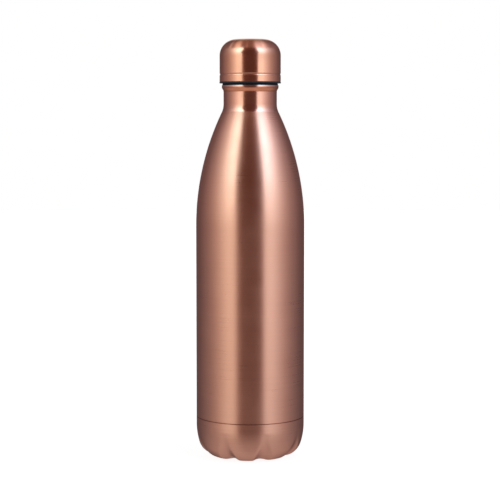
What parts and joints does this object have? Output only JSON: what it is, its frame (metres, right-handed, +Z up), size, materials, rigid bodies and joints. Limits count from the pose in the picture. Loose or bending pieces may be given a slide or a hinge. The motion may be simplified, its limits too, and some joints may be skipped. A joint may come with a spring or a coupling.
{
  "type": "vacuum water bottle",
  "caption": "Tall double-wall vacuum water bottle in a copper finish, with sloping shoulder, narrow neck, domed screw lid with a sealing plug, weld seam and pressed petal base",
  "frame": {"origin": "centre of the plane that the feet stand on", "axes": "+Z up along the bottle's axis from base to lid, -Y towards the viewer of the picture, +X to the viewer's right"},
  "size_m": [0.08, 0.08, 0.3081],
  "materials": {
    "copper_polished": "polished",
    "copper_brushed": "satin",
    "black_plastic": "satin",
    "silicone": "matte",
    "foam": "matte",
    "steel": "satin",
    "foil": "polished",
    "solder_glass": "gloss",
    "getter": "matte"
  },
  "bodies": {
    "bottle": {"outer_shell": "copper_brushed", "base_cup": "copper_brushed", "inner_liner": "steel", "liner_dish": "steel", "foil_wrap": "foil", "vacuum_plate": "steel", "port_bead": "solder_glass", "getter_clip": "steel", "getter_pill": "getter"},
    "seal": {"seal_ring": "silicone"},
    "lid": {"cap_cover": "copper_polished", "plug_body": "black_plastic", "plug_foam": "foam", "plug_disc": "black_plastic"}
  },
  "joints": [
    {"name": "lid_rise", "type": "slide", "parent": "bottle", "child": "seal", "axis": [0, 0, 1], "range_m": [0, 0.0175]},
    {"name": "lid_turn", "type": "hinge", "parent": "seal", "child": "lid", "pos_m": [0, 0, 0.2747], "axis": [0, 0, 1], "range_deg": [0, 1260]}
  ],
  "couplings": [
    {"joint": "lid_rise", "follows": "lid_turn", "m_per_rad": 0.00079577}
  ]
}
